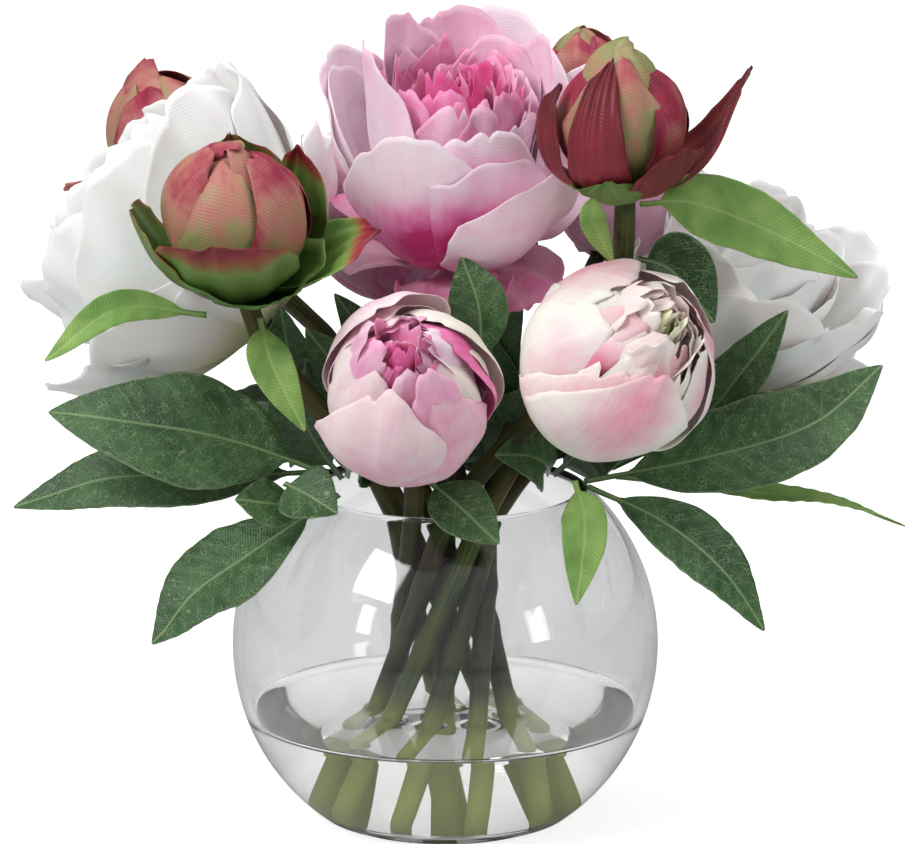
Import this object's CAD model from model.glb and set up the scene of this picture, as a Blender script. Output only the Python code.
# Peonies in a bubble-bowl vase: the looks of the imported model.
# Lengths in the dictionaries are millimetres. Azimuths and bends are degrees.
import math

import bpy
import numpy as np
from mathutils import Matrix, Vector


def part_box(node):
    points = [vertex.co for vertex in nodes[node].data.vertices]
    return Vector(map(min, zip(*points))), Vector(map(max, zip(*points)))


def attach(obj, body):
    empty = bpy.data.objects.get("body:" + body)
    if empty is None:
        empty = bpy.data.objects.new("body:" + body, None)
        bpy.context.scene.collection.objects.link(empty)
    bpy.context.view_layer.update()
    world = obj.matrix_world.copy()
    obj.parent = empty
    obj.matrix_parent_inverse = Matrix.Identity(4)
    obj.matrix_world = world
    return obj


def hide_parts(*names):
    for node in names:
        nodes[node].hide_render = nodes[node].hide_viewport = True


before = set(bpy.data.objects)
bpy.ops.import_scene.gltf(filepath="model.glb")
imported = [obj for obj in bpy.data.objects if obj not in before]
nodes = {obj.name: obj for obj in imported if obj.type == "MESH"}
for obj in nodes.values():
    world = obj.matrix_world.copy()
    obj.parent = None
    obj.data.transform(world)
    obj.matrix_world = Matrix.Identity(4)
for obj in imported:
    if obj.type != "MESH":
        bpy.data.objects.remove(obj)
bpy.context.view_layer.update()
mm = 0.001


# Camera, light and ground

view = dict(place=(3.2 * mm, -1736.2 * mm, 539.2 * mm), lookDown=12.73, lens=194.2, sensor=36, farthest=50)


def addCamera():
    data = bpy.data.cameras.new("camera")
    data.sensor_width = view["sensor"]
    data.lens = view["lens"]
    data.clip_end = view["farthest"]
    camera = bpy.data.objects.new("camera", data)
    camera.location = view["place"]
    camera.rotation_euler = (math.radians(90 - view["lookDown"]), 0, 0)
    bpy.context.collection.objects.link(camera)
    bpy.context.scene.camera = camera
    bpy.context.scene.view_settings.view_transform = "Standard"


# Lights in metres and watts. Each one looks at a point this high above the middle of the foot
lights = {
    "window_left": dict(place=(-1.0, -0.96, 0.62), size=(0.18, 0.36), power=2, aim=0.1),
    "window_right": dict(place=(1.14, -0.86, 0.52), size=(0.26, 0.42), power=2.6, aim=0.1),
    "key_high": dict(place=(-1.05, -0.95, 1.45), size=(0.8, 0.8), power=19, aim=0.16),
    "top_soft": dict(place=(0.1, 0.2, 1.5), size=(1.0, 1.0), power=10, aim=0.16),
}


def addLights():
    for name, lamp in lights.items():
        data = bpy.data.lights.new(name, "AREA")
        data.shape = "RECTANGLE"
        data.size, data.size_y = lamp["size"]
        data.energy = lamp["power"]
        light = bpy.data.objects.new(name, data)
        light.location = lamp["place"]
        way = Vector((0, 0, lamp["aim"])) - Vector(lamp["place"])
        light.rotation_euler = way.to_track_quat("-Z", "Y").to_euler()
        bpy.context.collection.objects.link(light)
    print("lights:", len(lights))


# The floor looks overexposed white, with only a faint shadow left on it. What is seen through the
# glass glows less near the vase: under and middle give two circles and how much they add
ground = dict(grey=(0.5, 0.5, 0.5), seen=0.8, through=0.5, under=(0.2, 0.12, 0.55), middle=(0.1, 0.05, -0.25))


def addGround():
    bpy.ops.mesh.primitive_plane_add(size=30, location=(0, 0, -0.0002))
    floor = bpy.context.object
    floor.name = "floor"
    made, tree, shader = startMaterial("floor_white")
    tree.setInputs(shader, Base_Color=ground["grey"], Roughness=0.9, Specular_IOR_Level=0,
                   Emission_Color=(1.0, 1.0, 1.0))
    path = tree.add("ShaderNodeLightPath").outputs
    seen = tree.times(path["Is Camera Ray"], ground["seen"])
    place = tree.add("ShaderNodeNewGeometry").outputs["Position"]
    away = tree.add("ShaderNodeVectorMath", {"operation": "LENGTH"})
    tree.feed(away, "0", place)
    under, middle = (tree.times(tree.spread(away.outputs["Value"], far, near), share)
                     for far, near, share in (ground["under"], ground["middle"]))
    glow = tree.plus(tree.plus(under, middle), ground["through"])
    through = tree.times(path["Is Transmission Ray"], glow)
    tree.feed(shader, "Emission Strength", tree.plus(seen, through))
    floor.data.materials.append(made)


# White surroundings: how bright they light, and what rays through and off the glass get on top
studio = dict(light=0.46, through=1.3, mirrored=-0.34)


def addWorld():
    world = bpy.data.worlds.new("studio")
    world.use_nodes = True
    tree = Tree(world.node_tree)
    back = world.node_tree.nodes["Background"]
    back.inputs["Color"].default_value = (1, 1, 1, 1)
    path = tree.add("ShaderNodeLightPath").outputs
    clear = tree.plus(tree.times(path["Is Transmission Ray"], studio["through"]),
                      tree.times(path["Is Glossy Ray"], studio["mirrored"]))
    seen = tree.times(path["Is Camera Ray"], 1 - studio["light"])
    tree.feed(back, "Strength", tree.plus(tree.plus(clear, seen), studio["light"]))
    bpy.context.scene.world = world


# Colour and material helpers


def srgb(code):
    values = [int(code[i:i + 2], 16) / 255 for i in (1, 3, 5)]
    return tuple(v / 12.92 if v <= 0.04045 else ((v + 0.055) / 1.055) ** 2.4 for v in values)


# A short way to add and join nodes
class Tree:
    def __init__(self, tree):
        self.tree = tree

    def add(self, kind, settings=None, **inputs):
        node = self.tree.nodes.new(kind)
        for key, value in (settings or {}).items():
            setattr(node, key, value)
        self.setInputs(node, **inputs)
        return node

    def setInputs(self, node, **values):
        for key, value in values.items():
            self.feed(node, key.replace("_", " "), value)

    def feed(self, node, key, value):
        socket = node.inputs[int(key)] if key.isdigit() else node.inputs[key]
        if isinstance(value, bpy.types.NodeSocket):
            self.tree.links.new(value, socket)
        elif isinstance(value, tuple) and len(value) == 3 and socket.type == "RGBA":
            socket.default_value = (*value, 1)
        else:
            socket.default_value = value

    def maths(self, operation, a, b=0.0, clamp=False):
        node = self.add("ShaderNodeMath", {"operation": operation, "use_clamp": clamp})
        self.feed(node, "0", a)
        self.feed(node, "1", b)
        return node.outputs[0]

    def times(self, a, b):
        return self.maths("MULTIPLY", a, b)

    def plus(self, a, b):
        return self.maths("ADD", a, b)

    def minus(self, a, b):
        return self.maths("SUBTRACT", a, b)

    # How far a value is from 0.5, to either side
    def aside(self, a):
        return self.maths("ABSOLUTE", self.minus(a, 0.5))

    def noise(self, vector, scale, detail):
        return self.add("ShaderNodeTexNoise", Vector=vector, Scale=scale, Detail=detail).outputs["Fac"]

    def mix(self, factor, a, b):
        node = self.add("ShaderNodeMix", {"data_type": "RGBA"})
        for key, held in zip("067", (factor, a, b)):
            self.feed(node, key, held)
        return node.outputs[2]

    # Mixes a colour in where the mask is, up to the given share
    def tint(self, colour, mask, share, code):
        return self.mix(self.times(mask, share), colour, srgb(code))

    def bump(self, shader, height, strength, distance):
        node = self.add("ShaderNodeBump", Height=height, Strength=strength, Distance=distance)
        self.feed(shader, "Normal", node.outputs[0])

    def ramp(self, value, stops):
        node = self.add("ShaderNodeValToRGB")
        marks = node.color_ramp.elements
        while len(marks) < len(stops):
            marks.new(0.5)
        for mark, (place, colour) in zip(marks, stops):
            mark.position = place
            mark.color = (*colour, 1)
        self.feed(node, "0", value)
        return node.outputs[0]

    # value from low..high stretched to 0..1
    def spread(self, value, low, high):
        node = self.add("ShaderNodeMapRange")
        for key, held in zip("012", (value, low, high)):
            self.feed(node, key, held)
        return node.outputs[0]


def newGroup(name, inputs, outputs):
    group = bpy.data.node_groups.new(name, "ShaderNodeTree")
    for label, kind, value in inputs:
        socket = group.interface.new_socket(label, in_out="INPUT", socket_type=kind)
        if value is not None:
            socket.default_value = value
    for label, kind in outputs:
        group.interface.new_socket(label, in_out="OUTPUT", socket_type=kind)
    tree = Tree(group)
    return group, tree, tree.add("NodeGroupInput").outputs, tree.add("NodeGroupOutput").inputs


number, vectorSocket = "NodeSocketFloat", "NodeSocketVector"


# Ribs of a fine woven ribbon, in metric cloth coordinates (1 = 100 mm)
def makeWeaveGroup():
    group, tree, given, out = newGroup(
        "woven_ribs",
        [("Vector", vectorSocket, None), ("Ribs", number, 120.0), ("Slant", number, 0.0)],
        [("Height", number), ("Mask", number)])
    turn = tree.add("ShaderNodeVectorRotate", {"rotation_type": "Z_AXIS"},
                    Vector=given["Vector"], Angle=given["Slant"])
    waves = tree.add("ShaderNodeTexWave", {"bands_direction": "Y"}, Vector=turn.outputs[0],
                     Scale=given["Ribs"], Distortion=1.5, Detail=1.0)
    waves.inputs["Detail Scale"].default_value = 0.15
    cross = tree.add("ShaderNodeTexWave", {"bands_direction": "X"}, Vector=turn.outputs[0],
                     Scale=given["Ribs"], Distortion=0.6, Detail=1.0)
    both = tree.plus(tree.times(waves.outputs["Fac"], 0.85), tree.times(cross.outputs["Fac"], 0.15))
    mask = tree.spread(tree.noise(given["Vector"], 7.0, 2.0), 0.35, 0.65)
    tree.tree.links.new(both, out["Height"])
    tree.tree.links.new(mask, out["Mask"])
    return group


# Short light flecks of netted leaf veins
def makeFleckGroup():
    group, tree, given, out = newGroup(
        "vein_flecks", [("Vector", vectorSocket, None), ("Scale", number, 60.0)], [("Flecks", number)])
    warp = tree.add("ShaderNodeTexNoise", Vector=given["Vector"], Scale=26.0, Detail=2.0)
    moved = tree.add("ShaderNodeVectorMath", {"operation": "MULTIPLY_ADD"})
    for key, held in zip("012", (warp.outputs["Color"], (0.03, 0.03, 0.0), given["Vector"])):
        tree.feed(moved, key, held)
    cells = tree.add("ShaderNodeTexVoronoi", {"feature": "DISTANCE_TO_EDGE"},
                     Vector=moved.outputs[0], Scale=given["Scale"])
    line = tree.spread(cells.outputs["Distance"], 0.09, 0.02)
    keep = tree.spread(tree.noise(given["Vector"], 24.0, 3.0), 0.38, 0.62)
    tree.tree.links.new(tree.times(line, keep), out["Flecks"])
    return group


weaveGroup = makeWeaveGroup()
fleckGroup = makeFleckGroup()


def attribute(tree, name):
    return tree.add("ShaderNodeAttribute", {"attribute_name": name}).outputs["Fac"]


def clothCoordinates(tree):
    return tree.add("ShaderNodeUVMap", {"uv_map": "cloth"}).outputs[0]


def startMaterial(name):
    made = bpy.data.materials.new(name)
    made.use_nodes = True
    tree = Tree(made.node_tree)
    return made, tree, made.node_tree.nodes["Principled BSDF"]


# Dyed petal cloth: blush runs from the pale body to the deep dye, with woven ribs
def petalMaterial(name, look):
    made, tree, shader = startMaterial(name)
    cloth = clothCoordinates(tree)
    blush, tone = attribute(tree, "blush"), attribute(tree, "tone")
    blot = tree.noise(cloth, 9.0, 3.0)
    streak = tree.add("ShaderNodeMapping", Vector=cloth, Scale=(60.0, 4.0, 1.0))
    streaks = tree.noise(streak.outputs[0], 1.0, 3.0)
    wander = tree.times(tree.minus(blot, 0.5), look["blot"])
    fine = tree.times(tree.minus(streaks, 0.5), look["streak"])
    dyed = tree.maths("ADD", tree.plus(blush, wander), fine, clamp=True)
    colour = tree.ramp(dyed, [(place, srgb(code)) for place, code in look["dye"]])
    shade = tree.maths("MULTIPLY", tone, look["tone"], clamp=True)
    colour = tree.mix(shade, colour, srgb(look["shade"]))
    weave = tree.add("ShaderNodeGroup", {"node_tree": weaveGroup}, Vector=cloth,
                     Ribs=26.0, Slant=0.25)
    colour = tree.tint(colour, weave.outputs["Height"], look["thread"], look["shade"])
    tree.feed(shader, "Base Color", colour)
    tree.setInputs(shader, Roughness=look.get("roughness", 0.75), Sheen_Weight=look.get("sheen", 0.08),
                   Sheen_Roughness=0.4, Specular_IOR_Level=look.get("specular", 0.15))
    if look.get("glow"):
        tree.setInputs(shader, Subsurface_Weight=look["glow"], Subsurface_Radius=(1.0, 0.6, 0.6),
                       Subsurface_Scale=0.0015)
    height = tree.plus(tree.times(weave.outputs["Height"], weave.outputs["Mask"]), tree.times(streaks, 2.0))
    tree.bump(shader, height, look["bump"], 0.0003)
    return made


# Printed leaf cloth: midrib, slanting side veins, netted flecks and a thin pale edge
def leafMaterial(name, look):
    made, tree, shader = startMaterial(name)
    cloth = clothCoordinates(tree)
    across, along = attribute(tree, "across"), attribute(tree, "along")
    split = tree.add("ShaderNodeSeparateXYZ", Vector=cloth)
    x, y = split.outputs[0], split.outputs[1]
    side = tree.aside(x)
    wobble = tree.noise(cloth, 18.0, 2.0)
    slanted = tree.minus(y, tree.times(side, look["slant"]))
    slanted = tree.plus(slanted, tree.times(wobble, 0.03))
    phase = tree.maths("FRACT", tree.times(slanted, 1.0 / look["veinPitch"]))
    vein = tree.spread(tree.aside(phase), 0.045, 0.0)
    vein = tree.times(vein, tree.spread(wobble, 0.35, 0.6))
    midrib = tree.spread(side, 0.007, 0.003)
    flecks = tree.add("ShaderNodeGroup", {"node_tree": fleckGroup}, Vector=cloth, Scale=look["fleckScale"])
    patch = tree.noise(cloth, 5.0, 3.0)
    colour = tree.ramp(patch, [(0.3, srgb(look["dark"])), (0.7, srgb(look["body"]))])
    marks = tree.maths("MAXIMUM", tree.times(flecks.outputs[0], look["flecks"]),
                       tree.times(vein, look["veins"]))
    marks = tree.maths("MAXIMUM", marks, tree.times(midrib, look["midrib"]))
    colour = tree.mix(marks, colour, srgb(look["line"]))
    smudge = tree.noise(cloth, 3.1, 1.0)
    middle = tree.times(tree.spread(tree.aside(along), 0.3, 0.0), tree.spread(smudge, 0.42, 0.62))
    colour = tree.tint(colour, middle, look["smudge"], look["dark"])
    edge = tree.spread(tree.maths("ABSOLUTE", across), 0.95, 1.0)
    colour = tree.tint(colour, edge, look["edge"], look["line"])
    weave = tree.add("ShaderNodeGroup", {"node_tree": weaveGroup}, Vector=cloth, Ribs=look["ribs"], Slant=0.6)
    colour = tree.tint(colour, weave.outputs["Height"], look["thread"], look["dark"])
    tree.feed(shader, "Base Color", colour)
    gloss = tree.ramp(patch, [(0.35, (look["gloss"][0],) * 3), (0.65, (look["gloss"][1],) * 3)])
    tree.feed(shader, "Roughness", gloss)
    tree.setInputs(shader, Specular_IOR_Level=look["specular"])
    height = tree.plus(tree.times(weave.outputs["Height"], 0.6), tree.times(marks, -1.2))
    height = tree.plus(height, tree.times(tree.noise(cloth, 150.0, 2.0), 1.6))
    tree.bump(shader, height, look["bump"], 0.0003)
    return made


# Surface building

clothUnit = 100  # millimetres of cloth that one unit of its coordinates stands for
clothThickness = {"petal": 0.16, "leaf_dark": 0.5, "leaf_light": 0.45, "stem": 0}


def smoothstep(low, high, value):
    t = np.clip((value - low) / (high - low), 0, 1)
    return t * t * (3 - 2 * t)


# count points on a Catmull-Rom curve through the given ones
def curveThrough(points, count):
    p = np.array(points, float)
    p = np.vstack([2 * p[0] - p[1], p, 2 * p[-1] - p[-2]])
    spans = len(p) - 3
    t = np.linspace(0, spans, count)
    k = np.minimum(t.astype(int), spans - 1)
    f = (t - k)[:, None]
    a, b, c, d = p[k], p[k + 1], p[k + 2], p[k + 3]
    square, cube = 2 * a - 5 * b + 4 * c - d, 3 * b - a - 3 * c + d
    return 0.5 * (2 * b + (c - a) * f + square * f ** 2 + cube * f ** 3)


def unit(ways):
    return ways / np.linalg.norm(ways, axis=1)[:, None]


# Directions turned by an angle from one axis towards another
def turned(first, second, angle):
    return first * np.cos(angle)[..., None] + second * np.sin(angle)[..., None]


# Smooth noise: a few sine waves in random directions
def ripple(rng, x, y, count=5, low=1.0, high=4.0):
    total = np.zeros(np.broadcast(x, y).shape)
    for _ in range(count):
        turn = rng.uniform(0, 2 * math.pi)
        rate = rng.uniform(low, high)
        total += np.sin(rate * (x * math.cos(turn) + y * math.sin(turn)) * math.pi + rng.uniform(0, 7))
    return total / count


# A mesh as a piece that stands for a node, with its material and slot
def makePiece(name, mesh, material, node, thickness=0):
    mesh.polygons.foreach_set("use_smooth", [True] * len(mesh.polygons))
    mesh.materials.append(material)
    piece = bpy.data.objects.new(name, mesh)
    bpy.context.collection.objects.link(piece)
    if thickness:
        solid = piece.modifiers.new("thickness", "SOLIDIFY")
        solid.thickness = thickness * mm
        solid.offset = 0
    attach(piece, "root")
    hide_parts(node)
    return piece


# Joins sheets, each a grid of points with its cloth coordinates and values, in one piece
def joinSheets(name, sheets, material, node, slot):
    points, faces, uvs = [], [], []
    values = {"blush": [], "tone": [], "across": [], "along": []}
    start = 0
    for sheet in sheets:
        rows, cols = sheet["points"].shape[:2]
        points.append(sheet["points"].reshape(-1, 3))
        uvs.append(np.broadcast_to(sheet["cloth"], (rows, cols, 2)).reshape(-1, 2))
        for key, held in values.items():
            held.append(np.broadcast_to(sheet.get(key, 0.0), (rows, cols)).ravel())
        i, j = np.meshgrid(np.arange(rows - 1), np.arange(cols - 1), indexing="ij")
        a = (start + i * cols + j).ravel()
        faces.append(np.stack([a, a + 1, a + cols + 1, a + cols], 1))
        start += rows * cols
    points, faces, uvs = np.vstack(points), np.vstack(faces), np.vstack(uvs)
    mesh = bpy.data.meshes.new(name)
    mesh.from_pydata(points.tolist(), [], faces.tolist())
    layer = mesh.uv_layers.new(name="cloth")
    corners = np.empty(len(mesh.loops), int)
    mesh.loops.foreach_get("vertex_index", corners)
    layer.data.foreach_set("uv", uvs[corners].ravel())
    for key, held in values.items():
        data = mesh.attributes.new(key, "FLOAT", "POINT").data
        data.foreach_set("value", np.concatenate(held).astype(float))
    makePiece(name, mesh, material, node, clothThickness.get(slot, clothThickness["petal"]))


# Where a head sits: the middle of its lowest end, its axes, and its radius and height
def seatOf(node, lean):
    places = np.array([v.co for v in nodes[node].data.vertices])
    axis = np.array(lean, float) / np.linalg.norm(lean)
    centre = places.mean(0)
    rise = (places - centre) @ axis
    front = np.array([0, -1.0, 0]) + axis * axis[1]
    front /= np.linalg.norm(front)
    right = np.cross(-front, axis)
    return {"base": centre + axis * rise.min(), "axis": axis, "front": front, "right": right,
            "height": rise.max() - rise.min()}


# How wide a petal is along its length: from a narrow claw to a broad blade.
petalOutline = {
    "fan": ([0, 0.12, 0.3, 0.55, 0.8, 1], [0.22, 0.4, 0.74, 0.98, 1, 0.86]),
    "strap": ([0, 0.2, 0.5, 0.8, 1], [0.45, 0.7, 0.95, 1, 0.85]),
    "pointed": ([0, 0.15, 0.4, 0.7, 0.88, 1], [0.5, 0.8, 1, 0.74, 0.4, 0.06]),
    "cup": ([0, 0.12, 0.35, 0.6, 0.85, 1], [0.4, 0.72, 1, 1, 0.8, 0.5]),
    "shield": ([0, 0.12, 0.35, 0.6, 0.85, 1], [0.45, 0.8, 1, 0.86, 0.45, 0.06]),
    "band": ([0, 0.15, 0.4, 0.7, 0.9, 1], [0.4, 0.7, 0.95, 1, 0.75, 0.25]),
}


# What a petal does where its ring says nothing else
plainPetal = dict(grid=(22, 20), jitter=1.0, round=0.3, notches=2, notch=0.05, wavy=0.015, start=3, lift=0,
                  outline="fan", wrap=1.0, roll=12, ruffle=1.0, fold=0.6, pleats=9, pleat=0.35, spiral=2.5,
                  twist=6, stain={})


# One petal as a grid. bend gives its angle from the flower's axis at four places along it
def petalSheet(seat, petal, azimuth, rng):
    petal = {**plainPetal, **petal}
    rows, cols = petal["grid"]
    jitter = petal["jitter"]
    size = 1 + 0.07 * jitter * rng.uniform(-1, 1)
    length = petal["length"] * size
    width = petal["width"] * size
    u = np.linspace(0, 1, rows)[:, None]
    v = np.linspace(-1, 1, cols)[None, :]
    # the tip: rounded corners, shallow notches and a wavy cut
    tip = 1 - petal["round"] * np.abs(v) ** 2.6
    for _ in range(petal["notches"]):
        at = rng.uniform(-0.75, 0.75)
        depth = petal["notch"] * rng.uniform(0.3, 1)
        tip -= depth * np.exp(-((v - at) / rng.uniform(0.04, 0.12)) ** 2)
    tip += petal["wavy"] * ripple(rng, v, 0 * v, 4, 2, 7)
    s = u * tip
    # the middle line, from its bends
    bends = [b + jitter * rng.uniform(-1, 1) * w for b, w in zip(petal["bend"], (2, 4, 6, 11))]
    fine = np.linspace(0, 1.1, 111)
    angle = np.interp(fine, [0, 0.3, 0.65, 1.0], np.radians(bends))
    kernel = np.hanning(31)
    angle = np.convolve(np.pad(angle, 15, mode="edge"), kernel / kernel.sum(), "valid")
    step = length * (fine[1] - fine[0])
    reach = petal["start"] + np.concatenate([[0], np.cumsum(np.sin(angle[:-1])) * step])
    rise = petal["lift"] + np.concatenate([[0], np.cumsum(np.cos(angle[:-1])) * step])
    r, z, th = (np.interp(s, fine, line) for line in (reach, rise, angle))
    half = width * np.interp(s, *petalOutline[petal["outline"]])
    wrap = np.maximum(r * petal["wrap"], petal["roll"])
    phi = v * half / wrap
    inR, inZ = -np.cos(th), np.sin(th)
    # loose shape: ruffled rim, soft folds and a slight crease in the middle
    edge = smoothstep(0.35, 1.0, np.abs(v) ** 1.5 * 0.8 + s * 0.6)
    out = petal["ruffle"] * edge * ripple(rng, v * half / 22, s * length / 60, 4, 1.2, 3.6) * 2.2
    out += petal["fold"] * ripple(rng, v * 1.2, s * 1.4, 4, 0.5, 1.6)
    out -= 0.5 * np.exp(-(v / 0.12) ** 2) * smoothstep(0.1, 0.5, s)
    pleats = np.sin(v * petal["pleats"] + 1.5 * ripple(rng, v, s, 3, 0.5, 1.5) + rng.uniform(0, 7))
    out += petal["pleat"] * pleats * smoothstep(0.1, 0.7, s)
    out += petal["spiral"] * v
    cupR = r + inR * wrap * (1 - np.cos(phi)) + inR * np.cos(phi) * out
    cupZ = z + inZ * wrap * (1 - np.cos(phi)) + inZ * np.cos(phi) * out
    cupT = wrap * np.sin(phi) - np.sin(phi) * out
    turn = math.radians(azimuth) + math.radians(petal["twist"] * jitter * rng.uniform(-1, 1)) * s
    outward = turned(seat["front"], seat["right"], turn)
    around = turned(seat["right"], -seat["front"], turn)
    points = (outward * cupR[..., None] + around * cupT[..., None] + seat["axis"] * cupZ[..., None]) * mm
    points = points + seat["base"]
    cloth = np.stack([0.5 + v * half / clothUnit + 0 * s, s * length / clothUnit + rng.uniform(0, 3)], -1)
    cloth[..., 0] += rng.uniform(0, 3)
    blush = dyeOf(petal["stain"], s, v, rng)
    return {"points": points, "cloth": cloth, "blush": blush, "along": s, "across": v + 0 * s,
            "tone": rng.uniform(0, 1)}


# How much dye a petal holds: a level, more at the foot or the tip, and a patch
def dyeOf(stain, s, v, rng):
    level = stain.get("level", 0.2) + stain.get("vary", 0.08) * rng.uniform(-1, 1)
    dye = level + stain.get("foot", 0.0) * smoothstep(stain.get("footReach", 0.55), 0.05, s)
    dye += stain.get("tip", 0.0) * smoothstep(0.6, 1.0, s)
    dye += stain.get("rim", 0.0) * smoothstep(0.75, 1.0, np.abs(v))
    if "patch" in stain:
        strength, place, wide = stain["patch"]
        at = place + 0.08 * rng.uniform(-1, 1)
        sideways = 0.3 * rng.uniform(-1, 1)
        chance = strength * rng.uniform(0.4, 1.1)
        dye += chance * np.exp(-((s - at) / wide) ** 2 - ((v - sideways) / 0.55) ** 2)
    return dye + 0 * s


# The petals of one ring. places lists azimuths; without it they are spread evenly
def ringOf(seat, petal, rng):
    count = petal.get("count", 1)
    offset = petal.get("offset", 0)
    places = petal.get("places") or [offset + 360 * k / count for k in range(count)]
    spread = petal.get("scatter", 0.12) * 360 / count
    made = []
    for k, azimuth in enumerate(places):
        own = {**petal, **petal.get("own", {}).get(k, {})}
        own["lift"] = own.get("lift", 0) + 0.25 * k / count
        made.append(petalSheet(seat, own, azimuth + rng.uniform(-1, 1) * spread, rng))
    return made


# The vase: a clear bubble bowl with water

bowl = dict(radius=78, wall=3.5, foot=44.3, floor=4.5, rim=51.5, level=39, sides=144)


def lathe(name, profile, material, node):
    turn = np.linspace(0, 2 * math.pi, bowl["sides"], endpoint=False)
    line = np.array(profile) * mm
    points = [(0, 0, line[0][1])]
    for r, z in line[1:-1]:
        points += [(r * math.cos(a), r * math.sin(a), z) for a in turn]
    points.append((0, 0, line[-1][1]))
    sides, rings = bowl["sides"], len(line) - 2
    faces = []
    for k in range(sides):
        after = (k + 1) % sides
        faces.append((0, 1 + after, 1 + k))
        for i in range(rings - 1):
            a, b = 1 + i * sides, 1 + (i + 1) * sides
            faces.append((a + k, a + after, b + after, b + k))
        last = 1 + (rings - 1) * sides
        faces.append((last + k, last + after, len(points) - 1))
    mesh = bpy.data.meshes.new(name)
    mesh.from_pydata(points, [], faces)
    mesh.validate()
    return makePiece(name, mesh, material, node)


# Points of a sphere's outline between two heights, lowest first
def arc(radius, centre, low, high, count):
    start, end = (math.asin((z - centre) / radius) for z in (low, high))
    return [(radius * math.cos(a), centre + radius * math.sin(a)) for a in np.linspace(start, end, count)]


def glassMaterial(name, ior, thin, density):
    made, tree, shader = startMaterial(name)
    tree.setInputs(shader, Transmission_Weight=1, IOR=ior, Roughness=0, Base_Color=(1, 1, 1))
    soak = tree.add("ShaderNodeVolumeAbsorption", Color=thin, Density=density)
    output = made.node_tree.nodes["Material Output"]
    made.node_tree.links.new(soak.outputs[0], output.inputs["Volume"])
    return made


def makeBowl():
    outer, wall, foot, rim, floor = (bowl[key] for key in ("radius", "wall", "foot", "rim", "floor"))
    inner = outer - wall
    centre = math.sqrt(outer ** 2 - foot ** 2)
    lip = centre + math.sqrt(outer ** 2 - rim ** 2)
    innerLip = centre + math.sqrt(inner ** 2 - (rim - wall) ** 2)
    body = arc(outer, centre, 1.6, lip - 0.6, 90)
    hollow = arc(inner, centre, floor + 1.5, innerLip, 80)
    footRing = [(0, 1.2), (foot * 0.8, 1.0), (foot * 0.9, 0.1), (foot * 0.96, 0.0)]
    rimTurn = [(rim - 0.4, lip + 0.1), (rim - 1.7, lip + 0.5), (rim - wall + 0.3, lip - 0.1)]
    floorRing = [(hollow[0][0] - 3, floor + 0.4), (hollow[0][0] * 0.6, floor), (0, floor)]
    profile = footRing + body + rimTurn + hollow[::-1] + floorRing
    glass = glassMaterial("clear_glass", 1.46, (0.6, 0.605, 0.61), 150)
    lathe("vase_bowl_clear", profile, glass, "vase_bowl")
    return centre, inner


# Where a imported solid's edges cross a height
def sliceOf(mesh, level):
    cuts = []
    for edge in mesh.edges:
        a, b = (mesh.vertices[i].co for i in edge.vertices)
        if (a.z - level) * (b.z - level) < 0:
            cuts.append(a.lerp(b, (level - a.z) / (b.z - a.z)))
    return np.array(cuts)


# The water goes a little into the glass. Its surface creeps up at the wall and round each stem:
# how high at them, and over what distance that fades
meniscus = dict(wall=(1.5, 1.1), stem=(1.6, 1.4), most=2.4)


def makeWater(centre, inner):
    level = bowl["level"]
    overlap = 0.25
    wall = arc(inner + overlap, centre, bowl["floor"] + 1.2, level + 1.6, 60)
    count = 70
    edge = wall[-1][0]
    surface = [(edge * (1 - k / count), level) for k in range(1, count)]
    profile = [(0, bowl["floor"] - overlap), (wall[0][0] * 0.6, bowl["floor"] - overlap)] + wall + surface
    profile.append((0, level))
    water = glassMaterial("still_water", 1.33, (0.92, 0.94, 0.8), 1.6)
    piece = lathe("set_water_still", profile, water, "set_water")
    cuts = [sliceOf(node.data, level * mm) for name, node in nodes.items() if name.startswith("stem_")]
    stems = [cut.mean(0) for cut in cuts if len(cut)]
    top = (level - 0.01) * mm
    for vertex in piece.data.vertices:
        x, y, z = vertex.co
        r = math.hypot(x, y)
        if z < top or r > (edge - 0.1) * mm:
            continue
        high, fade = meniscus["wall"]
        rise = high * math.exp(-(edge * mm - r) / (fade * mm))
        high, fade = meniscus["stem"]
        for place in stems:
            away = max(math.hypot(x - place[0], y - place[1]) / mm - stem["radius"], 0)
            rise += high * math.exp(-away / fade)
        vertex.co.z = z + min(rise, meniscus["most"]) * mm
    print("water: meniscus at", len(stems), "stems")


# Stems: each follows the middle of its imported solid, which is found slice by slice

stem = dict(radius=3.7, sides=20, step=5, thin=0.72, reach=26, forked="stem_back_small", sideRows=14)


def followSlices(mesh, start, levels):
    middle, line = start, []
    for level in levels:
        cuts = sliceOf(mesh, level)
        if not len(cuts):
            break
        away = np.hypot(*(cuts - middle).T[:2])
        near = cuts[away < 2.6 * stem["radius"] * mm]
        if not len(near):
            break
        middle = (near.min(0) + near.max(0)) / 2
        line.append(middle)
    return np.array(line) / mm


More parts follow.
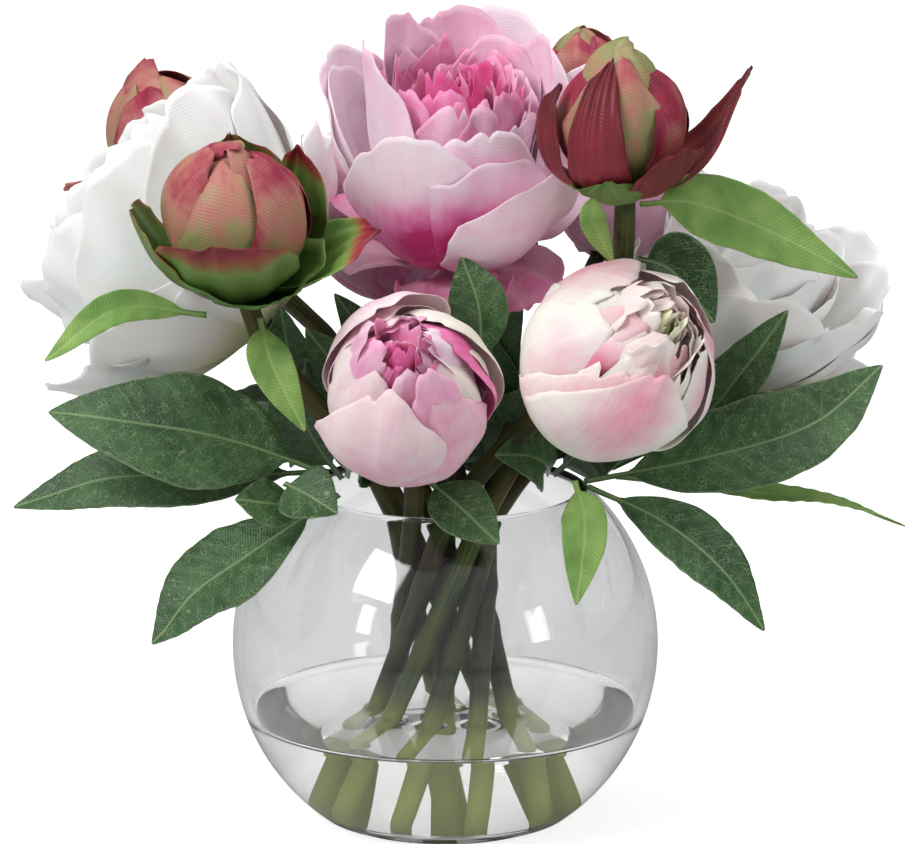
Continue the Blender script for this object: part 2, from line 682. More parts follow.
def stemSheet(line, radius, rng):
    rows = len(line) * 4
    path = curveThrough(line, rows)
    along = unit(np.gradient(path, axis=0))
    side = unit(np.cross(along, (0.3, 1, 0.1)))
    up = np.cross(along, side)
    turn = np.linspace(0, 2 * math.pi, stem["sides"] + 1)
    length = np.concatenate([[0], np.cumsum(np.linalg.norm(np.diff(path, axis=0), axis=1))])
    x, y = np.meshgrid(turn, length)
    swell = 1 + 0.05 * np.sin(y / 13 + rng.uniform(0, 7)) + 0.03 * np.sin(3 * x + y / 30)
    knuckle = 0.16 * np.exp(-((y - rng.uniform(55, 90)) / 3.5) ** 2)
    reach = radius * (swell + knuckle)
    points = path[:, None] + turned(side[:, None], up[:, None], x) * reach[..., None]
    ends = [np.repeat(path[place, None], x.shape[1], 1) for place in (slice(0, 1), slice(-1, None))]
    points = np.concatenate([ends[0], points, ends[1]])
    cloth = np.stack([x * 0.06, y / clothUnit], -1)
    cloth = np.concatenate([cloth[:1], cloth, cloth[-1:]])
    cut = np.zeros(points.shape[:2])
    cut[:2] = 1
    return {"points": points * mm, "cloth": cloth, "tone": cut, "along": 0 * cut + rng.uniform(0, 1)}


def stemMaterial():
    made, tree, shader = startMaterial("stem_skin")
    cloth = clothCoordinates(tree)
    stretch = tree.add("ShaderNodeMapping", Vector=cloth, Scale=(70.0, 3.0, 1.0))
    streaks = tree.noise(stretch.outputs[0], 1.0, 4.0)
    patches = tree.noise(cloth, 4.5, 3.0)
    mixed = tree.plus(tree.times(streaks, 0.45), tree.times(patches, 0.55))
    shift = tree.times(tree.minus(attribute(tree, "along"), 0.5), 0.16)
    mixed = tree.plus(mixed, shift)
    colour = tree.ramp(mixed, [(0.34, srgb("#141c0b")), (0.5, srgb("#303e1a")), (0.66, srgb("#5a6830"))])
    brown = tree.spread(patches, 0.44, 0.6)
    colour = tree.tint(colour, brown, 0.65, "#4c3a22")
    place = tree.add("ShaderNodeSeparateXYZ", Vector=tree.add("ShaderNodeNewGeometry").outputs["Position"])
    soaked = tree.spread(place.outputs[2], (bowl["level"] + 12) * mm, (bowl["level"] - 18) * mm)
    colour = tree.tint(colour, soaked, 0.9, "#d2db7c")
    colour = tree.mix(attribute(tree, "tone"), colour, srgb("#b7b884"))
    tree.feed(shader, "Base Color", colour)
    tree.setInputs(shader, Roughness=0.5, Specular_IOR_Level=0.25)
    tree.bump(shader, streaks, 0.4, 0.0005)
    return made


def headBases():
    seats = [seatOf(bloom["node"] + "_outer_petals", bloom["lean"]) for bloom in blooms]
    seats += [seatOf(node, bud["lean"]) for node, bud in buds.items()]
    return np.array([seat["base"] for seat in seats]) / mm


# Carries a stem's line on to the foot of the head it points at
def reachHead(line, bases):
    way = line[-1] - line[-2]
    gaps = bases - line[-1]
    away = np.linalg.norm(gaps, axis=1)
    nearest = away.argmin()
    ahead = gaps[nearest] @ way / np.linalg.norm(way)
    if away[nearest] < stem["reach"] and ahead > 1.5:
        return np.vstack([line, bases[nearest]])
    return line


def makeStems():
    skin = stemMaterial()
    bases = headBases()
    for k, name in enumerate(n for n in nodes if n.startswith("stem_")):
        rng = np.random.default_rng(400 + k)
        mesh = nodes[name].data
        low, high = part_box(name)
        step = stem["step"] * mm
        levels = np.arange(low.z + 1.2 * mm, high.z - 1.5 * mm, step)
        lowest = sliceOf(mesh, levels[0]).mean(0)
        line = followSlices(mesh, lowest, levels)
        highest = sliceOf(mesh, levels[-1]).mean(0)
        upper = followSlices(mesh, highest, levels[::-1][:12])[::-1]
        if name != stem["forked"]:
            line = np.vstack([line, upper[upper[:, 2] > line[-1][2] + 2]])
        sheets = [stemSheet(reachHead(line, bases), stem["radius"], rng)]
        if name == stem["forked"]:
            top = seatOf("bloom_back_small_outer_petals", backSmall["lean"])["base"]
            below = levels[levels < top[2] - mm][::-1]
            side = followSlices(mesh, top, below[:stem["sideRows"]])[::-1]
            sheets.append(stemSheet(reachHead(side, bases), stem["radius"] * stem["thin"], rng))
        joinSheets(name + "_skin", sheets, skin, name, "stem")
    print("stems: made")


# Leaves: printed cloth blades on wired midribs

leafWalk = 0.14  # share of a leaf that is its petiole


def leafSheet(leaf, rng):
    rows, cols = leaf.get("grid", (56, 21))
    line = curveThrough(leaf["route"], rows)
    t = np.linspace(0, 1, rows)
    along = unit(np.gradient(line, axis=0))
    across = unit(np.cross(along, leaf["faces"]))
    normal = np.cross(across, along)
    share = np.clip((t - leafWalk) / (1 - leafWalk), 0, 1)
    blade = np.sin(math.pi * share ** leaf.get("broad", 0.85)) ** 0.9
    half = 1.1 * (1 - 0.7 * t) + blade * leaf["width"] / 2
    v = np.linspace(-1, 1, cols)
    length = np.linalg.norm(np.diff(line, axis=0), axis=1).sum()
    x, y = np.meshgrid(v, t)
    wave = ripple(rng, x * 0.8, y * length / 26, 4, 0.6, 1.8)
    ruffle = leaf.get("ruffle", 1.6) * np.abs(x) ** 1.6
    ruffle = ruffle * ripple(rng, np.sign(x) * 0.7 + 0 * y, y * length / 20, 3, 0.7, 1.6)
    margin = 1 + 0.035 * ripple(rng, np.sign(x), y * length / 14, 4, 1, 3)
    spread = x * (half[:, None] * margin)
    fold = leaf.get("fold", 0.2) * np.abs(spread) * (1 - 0.35 * np.abs(x))
    veins = 0.22 * np.sin(2 * math.pi * (y * length - np.abs(spread) * 0.9) / 7.5) * np.abs(x) ** 0.4
    lift = fold + (wave + ruffle + veins) * np.minimum(half / 6, 1)[:, None]
    twist = math.radians(leaf.get("twist", 0)) * t
    side, up = turned(across, normal, twist), turned(normal, -across, twist)
    points = line[:, None, :] + side[:, None, :] * spread[..., None] + up[:, None, :] * lift[..., None]
    cloth = np.stack([0.5 + spread / clothUnit, y * length / clothUnit + rng.uniform(0, 3)], -1)
    return {"points": points * mm, "cloth": cloth, "across": x, "along": y, "tone": rng.uniform(0, 1)}


darkLeaf = dict(
    body="#43693b", dark="#234626", line="#9dbb80", veinPitch=0.085, slant=0.9, fleckScale=85.0, flecks=0.5,
    veins=0.4, midrib=0.5, smudge=0.0, edge=0.35, ribs=34.0, thread=0.16, gloss=(0.28, 0.46), specular=0.5,
    bump=0.5,
)
lightLeaf = dict(
    body="#a2c46e", dark="#5a863e", line="#b8d08c", veinPitch=0.06, slant=1.6, fleckScale=48.0, flecks=0.12,
    veins=0.25, midrib=0.45, smudge=0.6, edge=0.35, ribs=30.0, thread=0.35, gloss=(0.5, 0.62), specular=0.22,
    bump=0.5,
)


# A leaf: its width, the way its face looks and the points that its midrib goes through
def leafOf(width, faces, route, **more):
    return dict(width=width, faces=faces, route=route, **more)


darkLeaves = {
    "leaf_left_upper": leafOf(44, (0, -0.75, 0.66),
        [(-46, -26, 135), (-73, -30, 146), (-105, -32, 153), (-142, -24, 156)], ruffle=1.4, fold=0.12),
    "leaf_left_middle": leafOf(27, (0, -0.7, 0.7),
        [(-42, -15, 132), (-81, -14, 130), (-121, -10, 128), (-157, -4, 116)]),
    "leaf_left_lower": leafOf(31, (-0.5, -0.75, 0.45),
        [(-38, -30, 127), (-66, -47, 112), (-87, -54, 98), (-104, -57, 79)]),
    "leaf_left_small_front": leafOf(22, (0, -0.8, 0.6), [(-57, -46, 135), (-50, -52, 133), (-38, -58, 127)]),
    "leaf_left_small_side": leafOf(17, (0, -0.8, 0.6), [(-50, -42, 126), (-62, -52, 129), (-74, -58, 132)]),
    "leaf_right_upper": leafOf(22, (-0.3, -0.85, 0.4),
        [(61, 4, 129), (89, -2, 145), (107, -16, 169), (122, -28, 194)]),
    "leaf_right_middle": leafOf(34, (-0.1, -0.8, 0.6),
        [(50, -22, 130), (91, -30, 140), (130, -32, 153), (156, -28, 174)]),
    "leaf_right_lower": leafOf(24, (0.35, -0.8, 0.5),
        [(51, -34, 131), (78, -47, 121), (97, -56, 107), (113, -61, 85)]),
    "leaf_right_shaded": leafOf(28, (0.1, -0.9, 0.3), [(69, -13, 210), (81, -16, 206), (96, -25, 189)],
        grid=(30, 21)),
    "leaf_middle_upright": leafOf(20, (-0.1, -1, 0.1), [(13, -30, 172), (12, -33, 196), (6, -32, 214)],
        grid=(30, 21)),
    "leaf_middle_low": leafOf(20, (0.1, -0.9, 0.4), [(-6, -46, 136), (5, -60, 130), (19, -66, 118)],
        grid=(30, 21)),
}
lightLeaves = {
    "leaf_right_long": leafOf(11, (0.1, -0.5, 0.85),
        [(62, -2, 127), (108, 5, 120), (141, 8, 116), (169, 12, 105)], twist=40),
    "bract_right_long": leafOf(24, (0.1, -0.85, 0.5),
        [(68, -54, 237), (88, -48, 236), (116, -40, 224), (146, -34, 207)], broad=0.75, fold=0.1),
    "bract_left_long": leafOf(11, (0.1, -0.8, 0.6), [(-84, -46, 196), (-115, -56, 200), (-140, -58, 182)]),
    "bract_left_hanging": leafOf(14, (0.1, -1, 0.1), [(-65, -47, 195), (-61, -60, 182), (-49, -64, 158)]),
    "bract_front_hanging": leafOf(15, (0, -1, 0.1), [(46, -51, 137), (49, -68, 125), (46, -78, 99)]),
    "bract_right_short": leafOf(8, (0, -1, 0.2), [(52, -50, 241), (52, -48, 230), (59, -42, 214)]),
}
sprays = {
    "leaf_spray_back_left": (2.6, 9),
    "leaf_spray_back_middle": (1.85, 0),
    "leaf_spray_back_right": (1.1, 9),
}


# Leaflets that stand up from the mouth between the stems, by spray
standing = {
    "leaf_spray_back_left": [
        leafOf(24, (0, -1, 0.4), [(-36, 10, 124), (-34, -6, 134), (-30, -18, 140), (-20, -30, 143)]),
        leafOf(26, (-0.1, -1, 0.3), [(-38, 16, 122), (-48, 2, 140), (-52, -8, 156), (-50, -16, 174)]),
        leafOf(24, (-0.1, -1, 0.3), [(-30, 22, 126), (-44, 24, 146), (-56, 18, 166), (-60, 8, 188)]),
        leafOf(22, (0.1, -1, 0.2), [(-24, 16, 126), (-30, 6, 146), (-38, -6, 166), (-50, -12, 184)]),
    ],
    "leaf_spray_back_middle": [
        leafOf(28, (0, -1, 0.3), [(24, 36, 120), (14, 32, 134), (0, 26, 144), (-18, 18, 150)]),
        leafOf(28, (0, -1, 0.3), [(-4, 38, 120), (10, 34, 130), (28, 26, 138), (44, 16, 142)]),
        leafOf(22, (0, -1, 0.1), [(6, 34, 126), (12, 32, 148), (18, 26, 170), (28, 18, 192)]),
        leafOf(20, (0, -1, 0.3), [(-8, 30, 126), (-12, 24, 150), (-26, 14, 172), (-40, 2, 194)]),
        leafOf(26, (0, -1, 0.2), [(14, 36, 118), (22, 28, 132), (34, 16, 146), (52, 4, 158)]),
        leafOf(26, (0, -1, 0.2), [(4, 36, 118), (-4, 28, 134), (-18, 18, 148), (-36, 8, 160)]),
        leafOf(22, (0, -1, 0.1), [(16, 38, 122), (16, 34, 138), (18, 28, 156), (16, 20, 176)]),
    ],
    "leaf_spray_back_right": [
        leafOf(22, (0, -1, 0.4), [(38, 14, 124), (36, -2, 132), (30, -16, 138), (18, -28, 141)]),
        leafOf(26, (0, -1, 0.4), [(40, 22, 122), (50, 8, 134), (60, -4, 142), (74, -12, 146)]),
        leafOf(24, (0, -1, 0.2), [(26, 24, 126), (36, 22, 146), (44, 16, 168), (48, 10, 190)]),
        leafOf(20, (0.2, -1, 0.2), [(34, 18, 126), (50, 16, 142), (60, 12, 160), (66, 6, 182)]),
    ],
}


# Three leaflets on one petiole, reaching back and down from the mouth
def sprayLeaves(azimuth, lift):
    made = []
    for turn, reach in ((-0.42, 0.85), (0, 1), (0.42, 0.85)):
        way = np.array([math.cos(azimuth + turn), math.sin(azimuth + turn), 0])
        first = np.array([math.cos(azimuth), math.sin(azimuth), 0])
        length = 88 * reach
        route = [first * 42 + (0, 0, 127)]
        for share, height in ((0.35, 12 + lift), (0.7, 6 + lift), (1, -20 + lift)):
            route.append(first * 42 + way * length * share + (0, 0, 127 + height))
        made.append(leafOf(28, (way[0] * 0.3, way[1] * 0.3, 1), route))
    return made


def makeLeaves():
    dark = leafMaterial("leaf_dark_cloth", darkLeaf)
    light = leafMaterial("leaf_light_cloth", lightLeaf)
    for leaves, seed, cloth, slot in ((darkLeaves, 100, dark, "leaf_dark"),
                                      (lightLeaves, 200, light, "leaf_light")):
        for k, (node, leaf) in enumerate(leaves.items()):
            sheet = leafSheet(leaf, np.random.default_rng(seed + k))
            joinSheets(node + "_cloth", [sheet], cloth, node, slot)
    for k, (node, (azimuth, lift)) in enumerate(sprays.items()):
        rng = np.random.default_rng(300 + k)
        sheets = [leafSheet(leaf, rng) for leaf in sprayLeaves(azimuth, lift) + standing[node]]
        joinSheets(node + "_cloth", sheets, dark, node, "leaf_dark")
    print("leaves:", len(darkLeaves) + len(lightLeaves) + len(sprays))


# Flower cloths

pinkDye = dict(
    dye=[(0.0, "#fbf3f8"), (0.25, "#f8e4ef"), (0.5, "#f6c3da"), (0.75, "#ef7db4"), (1.0, "#d12f7a")],
    shade="#e3a6cc", tone=0.05, blot=0.45, streak=0.16, thread=0.05, bump=0.28, glow=0.2,
)
warmDye = dict(
    dye=[(0.0, "#dfe3b4"), (0.18, "#f4efe2"), (0.4, "#f7dde4"), (0.6, "#f3b3cb"), (0.8, "#e8719f"),
         (1.0, "#c22f6c")],
    shade="#e0b4a0", tone=0.1, blot=0.4, streak=0.12, thread=0.06, bump=0.28, glow=0.2,
)
whiteDye = dict(
    dye=[(0.0, "#fbfbfa"), (0.5, "#f4f1ea"), (0.75, "#efe9cf"), (1.0, "#d9dba4")],
    shade="#d8d9dd", tone=0.1, blot=0.15, streak=0.12, thread=0.03, bump=0.2, glow=0.35,
)
creamDye = dict(
    dye=[(0.0, "#c9d283"), (0.2, "#edf0c0"), (0.42, "#fdfbf3"), (0.6, "#fbd8dd"), (0.8, "#f3a0b6"),
         (1.0, "#dd4c7c")],
    shade="#efe0c4", tone=0.05, blot=0.25, streak=0.15, thread=0.05, bump=0.3, glow=0.2,
)
budDye = dict(
    dye=[(0.0, "#5e7a3e"), (0.3, "#9a9a66"), (0.5, "#c07f72"), (0.72, "#a8344e"), (1.0, "#6a152c")],
    shade="#4a1c2a", tone=0.2, blot=0.6, streak=0.18, thread=0.1, bump=0.35, roughness=0.45, specular=0.3,
    sheen=0.0,
)
calyxDye = dict(
    dye=[(0.0, "#587a36"), (0.35, "#7c9a4c"), (0.55, "#a0603f"), (0.72, "#9c2a3f"), (1.0, "#741a2c")],
    shade="#26391a", tone=0.3, blot=0.35, streak=0.2, thread=0.14, bump=0.4, roughness=0.45, specular=0.35,
    sheen=0.0,
)

dyes = dict(petal_pink=pinkDye, petal_warm=warmDye, petal_white=whiteDye, petal_cream=creamDye,
            bud_red=budDye, sepal=calyxDye)
cloths = {name: petalMaterial(name + "_cloth", look) for name, look in dyes.items()}
cloths["heart_pink"] = cloths["petal_pink"]
cloths["heart_cream"] = cloths["petal_cream"]


# All petals of the given rings as one piece that stands for a node
def whorl(name, node, slot, seat, rings, seed, extra=(), cloth=None):
    rng = np.random.default_rng(seed)
    sheets = list(extra)
    for petals in rings:
        sheets += ringOf(seat, petals, rng)
    joinSheets(name, sheets, cloths[cloth or slot], node, slot)
    return len(sheets)


# One ring of like petals: how many, the azimuth of the first, length, width and bends
def ring(count, offset, length, width, bend, **more):
    return dict(count=count, offset=offset, length=length, width=width, bend=bend, **more)


# How petals are stained: the level of the dye and where there is more of it
def dyed(level, **more):
    return dict(level=level, **more)


# What several rings share: cupped petals, and the narrow ones in the hearts
cupped = dict(outline="cup", ruffle=0.6, grid=(30, 30), fold=0.5, twist=4, jitter=0.6)
cuppedWithin = dict(lift=2, outline="cup", ruffle=0.8, spiral=2.0, grid=(26, 26), jitter=0.6)
cuppedHeart = dict(start=3, lift=4, outline="cup", ruffle=1.6, spiral=2.4, grid=(26, 22), jitter=1.4)
pinkStrips = dict(lift=6, ruffle=2.2, spiral=2.0, grid=(24, 16), notches=3, notch=0.1, fold=1.4)
creamStrips = dict(lift=7, ruffle=2.0, spiral=2.0, grid=(24, 18), notches=4, notch=0.1, fold=1.4)
topStrips = dict(start=1, lift=11, ruffle=1.4, spiral=1.0, notches=4, notch=0.16, grid=(22, 14), jitter=2)


# The big pink bloom on top

topPink = dict(
    node="bloom_top_pink", lean=(0.06, -0.33, 0.94), slots=("petal_pink", "heart_pink"),
    outer=[
        dict(places=[300, 348, 28, 72, 120, 180, 222, 260], length=96, width=34, bend=(82, 44, 16, 8),
             ruffle=1.5, round=0.34, spiral=3.5, twist=5, grid=(34, 36), wrap=0.9, start=4,
             stain=dyed(0.2, foot=0.3, patch=(0.35, 0.35, 0.25)),
             own={0: dict(length=96, bend=(82, 42, 10, -6), ruffle=1.0, round=0.4,
                          stain=dyed(0.12, foot=0.8, footReach=0.95, patch=(0.5, 0.6, 0.18))),
                  1: dict(length=90, bend=(82, 40, 4, -10), round=0.42,
                          stain=dyed(0.14, foot=0.9, footReach=1.0, patch=(0.9, 0.64, 0.16))),
                  2: dict(length=76, stain=dyed(0.16, foot=0.8, footReach=1.0, patch=(0.7, 0.6, 0.2))),
                  3: dict(length=92, bend=(84, 50, 24, 20)),
                  4: dict(length=103, bend=(80, 50, 28, 24), jitter=0.4, ruffle=2.2, width=34),
                  5: dict(length=92, ruffle=2.0),
                  6: dict(length=90),
                  7: dict(length=90)}),
        dict(places=[318, 8, 48, 250, 160], length=42, width=22, bend=(92, 70, 78, 130), start=9, ruffle=3.2,
             wrap=1.6, roll=45, grid=(26, 40), wavy=0.06, spiral=1.5, lift=1,
             stain=dyed(0.5, tip=0.15, vary=0.15)),
    ],
    inner=[
        ring(8, 12, 86, 27, (60, 30, 6, -4), start=3, lift=6, ruffle=1.6, spiral=3.0, grid=(28, 28),
             stain=dyed(0.25, foot=0.35, tip=0.15, vary=0.15),
             own={0: dict(length=64, stain=dyed(0.3, foot=0.6, footReach=0.8, patch=(0.8, 0.7, 0.25))),
                  1: dict(length=72),
                  7: dict(length=72, stain=dyed(0.3, foot=0.6, footReach=0.8))}),
    ],
    heart=[
        ring(9, 0, 74, 19, (48, 28, 6, -8), start=3, lift=8, ruffle=1.8, spiral=2.0, notches=4, notch=0.1,
             grid=(24, 22), stain=dyed(0.55, vary=0.2, foot=0.3, footReach=0.9)),
        ring(10, 10, 66, 15, (36, 22, 6, -6), start=2, lift=10, ruffle=1.6, spiral=1.0, notches=4,
             notch=0.14, grid=(22, 16), jitter=1.6, stain=dyed(0.68, vary=0.2, foot=0.3)),
        ring(10, 0, 64, 12, (22, 14, 4, -4), **topStrips, stain=dyed(0.72, vary=0.2, foot=0.3)),
        ring(6, 30, 61, 10, (6, 4, 2, 0), **topStrips, stain=dyed(0.8, vary=0.2, foot=0.3)),
    ],
)


def whiteBloom(node, lean, scale):
    tinge = dyed(0.04, foot=1.1, footReach=0.8, vary=0.06)
    return dict(
        node=node, lean=lean, slots=("petal_white", "petal_white"),
        outer=[
            ring(8, 8, 96 * scale, 38 * scale, (84, 46, 18, 6), ruffle=1.7, round=0.34, spiral=4,
                 grid=(34, 40), wavy=0.02, notches=3, notch=0.03, pleat=0.7, fold=1.0, stain=tinge),
            ring(7, 30, 74 * scale, 32 * scale, (90, 70, 46, 34), start=5, lift=-1, ruffle=2.2, round=0.32,
                 spiral=3, grid=(30, 36), wavy=0.02, notches=3, notch=0.03, pleat=0.7, fold=1.2, stain=tinge),
        ],
        heart=[
            ring(8, 12, 82 * scale, 30 * scale, (58, 28, 6, -8), lift=5, ruffle=1.8, spiral=3, grid=(28, 32),
                 wavy=0.02, notches=3, notch=0.04, pleat=0.7, stain=tinge),
            ring(9, 0, 68 * scale, 21 * scale, (38, 16, 0, -14), lift=7, ruffle=2.2, spiral=2, grid=(26, 24),
                 notches=4, notch=0.06, stain=tinge),
            ring(10, 10, 56 * scale, 14 * scale, (22, 10, 2, -10), lift=8, ruffle=2.0, spiral=1,
                 grid=(22, 18), notches=4, notch=0.1, jitter=1.6, stain=tinge),
        ],
    )


leftWhite = whiteBloom("bloom_left_white", (-0.7, 0.12, 0.7), 1.08)
rightWhite = whiteBloom("bloom_right_white", (0.4, -0.28, 0.87), 0.79)

backPink = dict(
    node="bloom_back_pink", lean=(-0.12, 0.62, 0.78), slots=("petal_pink", "heart_pink"),
    outer=[
        ring(8, 8, 74, 28, (82, 42, 14, 2), ruffle=1.6, spiral=3, grid=(28, 30),
             stain=dyed(0.4, foot=0.3, patch=(0.4, 0.4, 0.3))),
    ],
    heart=[
        ring(8, 12, 66, 19, (50, 22, 2, -8), lift=4, ruffle=1.8, spiral=2.5, grid=(24, 24),
             stain=dyed(0.45, foot=0.2)),
        ring(10, 0, 54, 11, (26, 12, 0, -8), lift=6, ruffle=1.6, spiral=1, grid=(20, 16), notches=4,
             notch=0.12, stain=dyed(0.7, vary=0.2)),
    ],
)

# The two half open blooms in front: cupped petals round an opening of narrow ones

frontPink = dict(
    node="bloom_front_pink", lean=(-0.03, -0.74, 0.67), slots=("petal_pink", "heart_pink"),
    guardCloth="petal_warm",
    calyx=[("snug", "green", 20, 0.7, 0.5), ("snug", "red", 305, 0.86, 0.45),
           ("snug", "leafy", 100, 0.6, 0.5)],
    outer=[
        dict(**cupped, places=[350, 52, 112, 180, 245, 298], length=84, width=29, bend=(84, 38, -8, -58),
             start=3, spiral=2.2, stain=dyed(0.38, foot=-0.3, patch=(0.3, 0.55, 0.25)),
             own={0: dict(length=74),
                  1: dict(length=76, stain=dyed(0.62, vary=0.05)),
                  2: dict(length=80, stain=dyed(0.25)),
                  3: dict(length=80)}),
        ring(6, 20, 75, 22, (80, 35, -10, -60), **cuppedWithin, start=1, stain=dyed(0.38, vary=0.14)),
    ],
    heart=[
        ring(7, 15, 70, 19, (74, 30, -14, -66), **cuppedHeart, notches=4, notch=0.08,
             stain=dyed(0.62, vary=0.2, rim=-0.15)),
        ring(10, 0, 64, 11, (28, 12, -8, -50), start=11, lift=6, ruffle=2.0, spiral=2.0, grid=(24, 16),
             notches=3, notch=0.08, jitter=1.4, fold=1.2, stain=dyed(0.55, vary=0.2, rim=-0.2, tip=-0.05)),
        ring(11, 20, 62, 8, (16, 10, -4, -30), **pinkStrips, start=9, jitter=1.8,
             stain=dyed(0.65, vary=0.2, rim=-0.25)),
        ring(10, 0, 61, 8, (6, 4, -2, -14), **pinkStrips, start=4, jitter=2,
             stain=dyed(0.7, vary=0.2, rim=-0.25)),
    ],
)

frontCream = dict(
    node="bloom_front_cream", lean=(0.47, -0.69, 0.55), slots=("petal_cream", "heart_cream"),
    calyx=[("snug", "rose", 356, 1.0, 0.6), ("snug", "green", 312, 0.8, 0.6),
           ("hooked", "red", 262, 0.9, 0.4)],
    outer=[
        dict(**cupped, places=[0, 62, 124, 185, 245, 305], length=92, width=33, bend=(84, 38, -8, -58),
             start=3, spiral=2.4, stain=dyed(0.42, foot=-0.28, patch=(0.42, 0.75, 0.34), vary=0.05),
             own={0: dict(length=84), 5: dict(length=86)}),
        ring(6, 38, 86, 27, (80, 36, -10, -58), **cuppedWithin, start=2,
             stain=dyed(0.42, foot=-0.2, patch=(0.6, 0.85, 0.15))),
    ],
    heart=[
        ring(8, 15, 80, 20, (74, 32, -12, -62), **cuppedHeart, notches=5, notch=0.1,
             stain=dyed(0.42, vary=0.12, tip=0.1)),
        ring(10, 0, 70, 13, (28, 12, -8, -50), start=12, lift=7, ruffle=1.8, spiral=2.0, grid=(24, 18),
             notches=4, notch=0.08, jitter=1.2, fold=1.2, stain=dyed(0.48, vary=0.1, tip=0.1)),
        ring(11, 20, 70, 11, (16, 10, -4, -32), **creamStrips, start=9, jitter=1.3,
             stain=dyed(0.4, vary=0.14)),
        ring(9, 0, 69, 10, (6, 4, -2, -16), **creamStrips, start=4, jitter=1.4, stain=dyed(0.34, vary=0.14)),
    ],
)

backSmall = dict(
    node="bloom_back_small", lean=(0.32, 0.5, 0.8), slots=("petal_pink", "heart_pink"),
    outer=[
        ring(6, 0, 58, 20, (82, 36, -4, -40), outline="cup", ruffle=0.8, spiral=2, grid=(24, 24),
             stain=dyed(0.5)),
    ],
    heart=[
        ring(9, 10, 50, 8, (44, 18, -6, -30), lift=3, ruffle=1.4, spiral=1, grid=(18, 12), notches=3,
             notch=0.12, jitter=1.6, stain=dyed(0.75, vary=0.2)),
    ],
)

blooms = [topPink, leftWhite, rightWhite, backPink, frontPink, frontCream, backSmall]


# The green cone that joins a head to its stem
def receptacleSheet(seat, radius):
    depth, neck = 5.6, 3.9
    down = np.array([-depth, -depth * 0.6, -depth * 0.25, 0.4, 1.8])
    wide = np.array([neck, neck * 1.15, radius * 0.22, radius * 0.34, radius * 0.42])
    rows = 14
    share = np.linspace(0, len(down) - 1, rows)
    down, wide = (np.interp(share, range(5), line) for line in (down, wide))
    turn = np.linspace(0, 2 * math.pi, 25)
    around = turned(seat["front"], seat["right"], turn)
    points = seat["base"] + (seat["axis"] * down[:, None, None] + around * wide[:, None, None]) * mm
    cloth = np.stack(np.broadcast_arrays(turn * 0.05, down[:, None] / clothUnit), -1)
    return {"points": points, "cloth": cloth, "blush": 0.12, "tone": 0.3}


# Green leaves under a head, held against it, and two that hang from it
def sepalRing(height, radius):
    return [
        ring(5, 20, height, radius * 0.42, (95, 60, 20, 30), outline="pointed", start=4, lift=-1.2,
             ruffle=0.8, spiral=1.0, round=0.1, grid=(20, 16), fold=0.4,
             stain=dyed(0.25, foot=-0.2, tip=0.4, rim=0.2)),
        ring(4, 60, height * 1.25, radius * 0.24, (110, 100, 125, 150), start=3, lift=-3, outline="pointed",
             ruffle=1.5, spiral=1.0, round=0.1, grid=(24, 14), fold=0.8, jitter=2.0,
             stain=dyed(0.1, vary=0.1)),
    ]


# Shapes of sepals: snug ones follow the bud, flared ones leave it at the tip, hooked ones curl away
sepalShapes = {
    "snug": dict(leave=(3, 5, 3, 4), outline="shield"),
    "flared": dict(leave=(2, 6, 16, 68), outline="shield"),
    "open": dict(leave=(2, 10, 30, 88), outline="shield"),
    "hooked": dict(leave=(4, 20, 40, 110), outline="pointed"),
    "band": dict(leave=(2, 5, 8, 40), outline="band"),
}
sepalTints = {
    "red": dyed(0.85, foot=-0.45, tip=0.15, vary=0.05),
    "green": dyed(0.12, foot=-0.1, tip=0.35, rim=0.3, vary=0.05),
    "crimson": dyed(0.1, tip=0.8, vary=0.04),
    "leafy": dyed(0.08, rim=0.15, vary=0.03),
    "rose": dyed(0.95, foot=-0.3, vary=0.03),
}


# Sepals bend as the petals under them do, and then leave them by their shape's own bends
def huggingSepals(sepals, radius, height, cover):
    rings = []
    shares = (0, 0.3, 0.65, 1)
    for k, (shape, tint, azimuth, length, width) in enumerate(sepals):
        covered = length * height * 0.93 / cover["length"]
        under = np.interp([share * covered for share in shares], shares, cover["bend"])
        bend = [a + b for a, b in zip(under, sepalShapes[shape]["leave"])]
        rings.append(dict(
            places=[azimuth], length=length * height, width=width * radius, scatter=0, bend=bend,
            outline=sepalShapes[shape]["outline"], start=4.6 + 0.5 * k, lift=-0.9 - 0.3 * k, ruffle=0.9,
            spiral=0.6, grid=(34, 24), fold=0.5, jitter=0.5, pleat=0.5, pleats=14, round=0.15, notches=0,
            stain=sepalTints[tint]))
    return rings


def makeBlooms():
    total = 0
    for k, bloom in enumerate(blooms):
        node = bloom["node"]
        seat = seatOf(node + "_outer_petals", bloom["lean"])
        petal, heart = bloom["slots"]
        total += whorl(node + "_guard_petals", node + "_outer_petals", petal, seat, bloom["outer"], 10 + k,
                       cloth=bloom.get("guardCloth"))
        if "inner" in bloom:
            total += whorl(node + "_middle_petals", node + "_inner_petals", petal, seat, bloom["inner"],
                           30 + k)
        total += whorl(node + "_crown_petals", node + "_heart", heart, seat, bloom["heart"], 50 + k)
        if node + "_sepals" in nodes:
            radius = seat["height"] * 0.5
            cover = bloom["outer"][0]
            close = huggingSepals(bloom.get("calyx", []), radius, seat["height"], cover)
            total += whorl(node + "_calyx", node + "_sepals", "sepal", seat,
                           sepalRing(radius * 0.8, radius) + close, 70 + k, [receptacleSheet(seat, radius)])
    print("blooms:", total, "petals")


# Closed red buds: wrapped petals, with sepals that flare at the tips


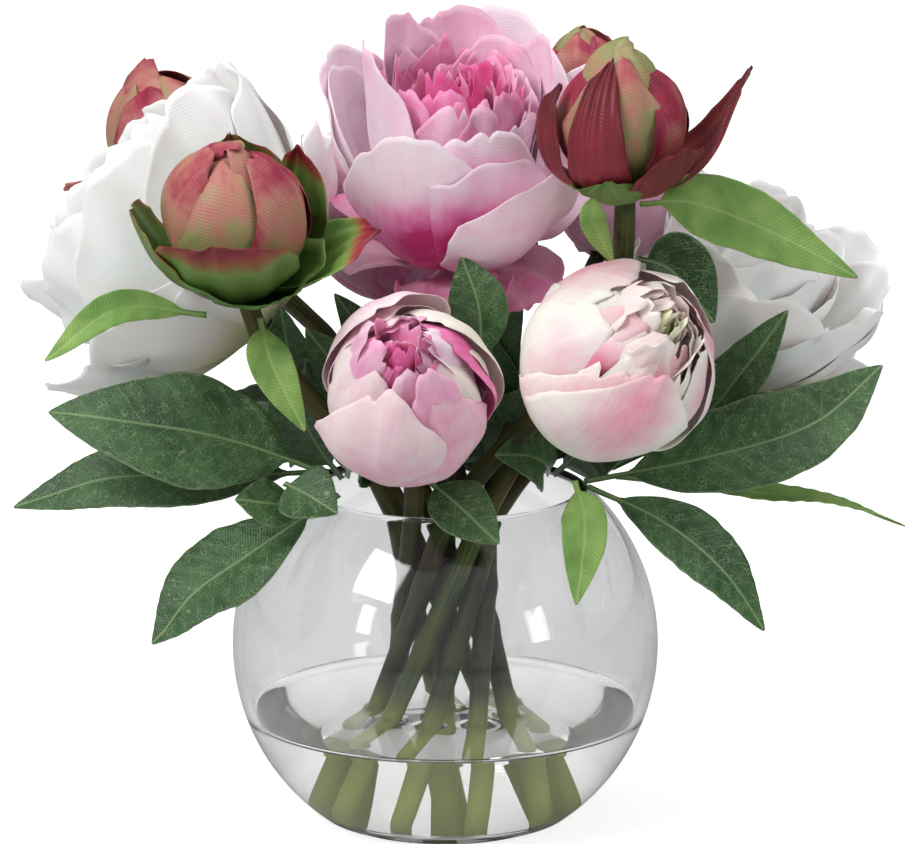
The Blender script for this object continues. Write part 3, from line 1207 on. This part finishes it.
def budRings(radius, height):
    return [
        ring(5, 0, height * 1.36, radius * 0.95, (84, 32, -20, -82), start=1.5, outline="cup", ruffle=0.5,
             spiral=2.0, grid=(28, 26), fold=0.6, round=0.4, jitter=0.8, pleat=0.5,
             stain=dyed(0.4, foot=-0.35, tip=0.2, rim=0.26, vary=0.2, patch=(0.2, 0.75, 0.3))),
        ring(4, 40, height * 1.34, radius * 0.7, (66, 22, -22, -86), start=1, lift=1.5, outline="cup",
             ruffle=0.6, spiral=1.5, grid=(22, 20), stain=dyed(0.5, vary=0.2)),
    ]


# Sepals of each bud: shape, tint, azimuth, length and half width as shares of the bud's height and radius
buds = {
    "bud_left_red": dict(lean=(-0.05, -0.42, 0.9), radius=25, height=54,
        sepals=[("snug", "green", 185, 1.1, 1.1), ("snug", "crimson", 130, 1.1, 0.8),
                ("band", "crimson", 352, 1.04, 1.15), ("band", "green", 284, 1.02, 0.9),
                ("open", "crimson", 78, 0.98, 0.9), ("band", "leafy", 20, 0.62, 1.3)]),
    "bud_right_red": dict(lean=(-0.03, -0.25, 0.96), radius=22, height=50,
        sepals=[("snug", "green", 200, 1.0, 1.1), ("snug", "red", 340, 1.5, 0.52),
                ("band", "rose", 36, 0.86, 0.7), ("snug", "red", 285, 1.2, 0.6),
                ("open", "red", 90, 1.3, 0.8), ("snug", "leafy", 350, 0.6, 0.9)]),
    "bud_back_left_red": dict(lean=(-0.3, 0.2, 0.93), radius=22, height=46,
        sepals=[("hooked", "green", 290, 0.95, 0.6), ("snug", "red", 10, 1.0, 0.8),
                ("band", "red", 70, 0.9, 0.8), ("flared", "red", 150, 1.0, 0.7),
                ("snug", "green", 220, 0.9, 0.8)]),
    "bud_back_right_red": dict(lean=(0.05, 0.2, 0.97), radius=15, height=31,
        sepals=[("snug", "green", 0, 0.8, 0.9), ("flared", "red", 80, 1.0, 0.6),
                ("snug", "red", 200, 1.0, 0.8)]),
}


def makeBuds():
    for k, (node, bud) in enumerate(buds.items()):
        seat = seatOf(node, bud["lean"])
        petals = budRings(bud["radius"], bud["height"])
        sepals = huggingSepals(bud["sepals"], bud["radius"], bud["height"], petals[0])
        cone = receptacleSheet(seat, bud["radius"])
        if node + "_sepals" in nodes:
            whorl(node + "_wrapped_petals", node, "bud_red", seat, petals, 90 + k)
            whorl(node + "_flared_sepals", node + "_sepals", "sepal", seat, sepals, 95 + k, [cone])
        else:
            whorl(node + "_wrapped_petals", node, "bud_red", seat, petals + sepals, 90 + k, [cone])
    print("buds:", len(buds))


addCamera()
addWorld()
addGround()
addLights()
makeWater(*makeBowl())
makeStems()
makeLeaves()
makeBlooms()
makeBuds()
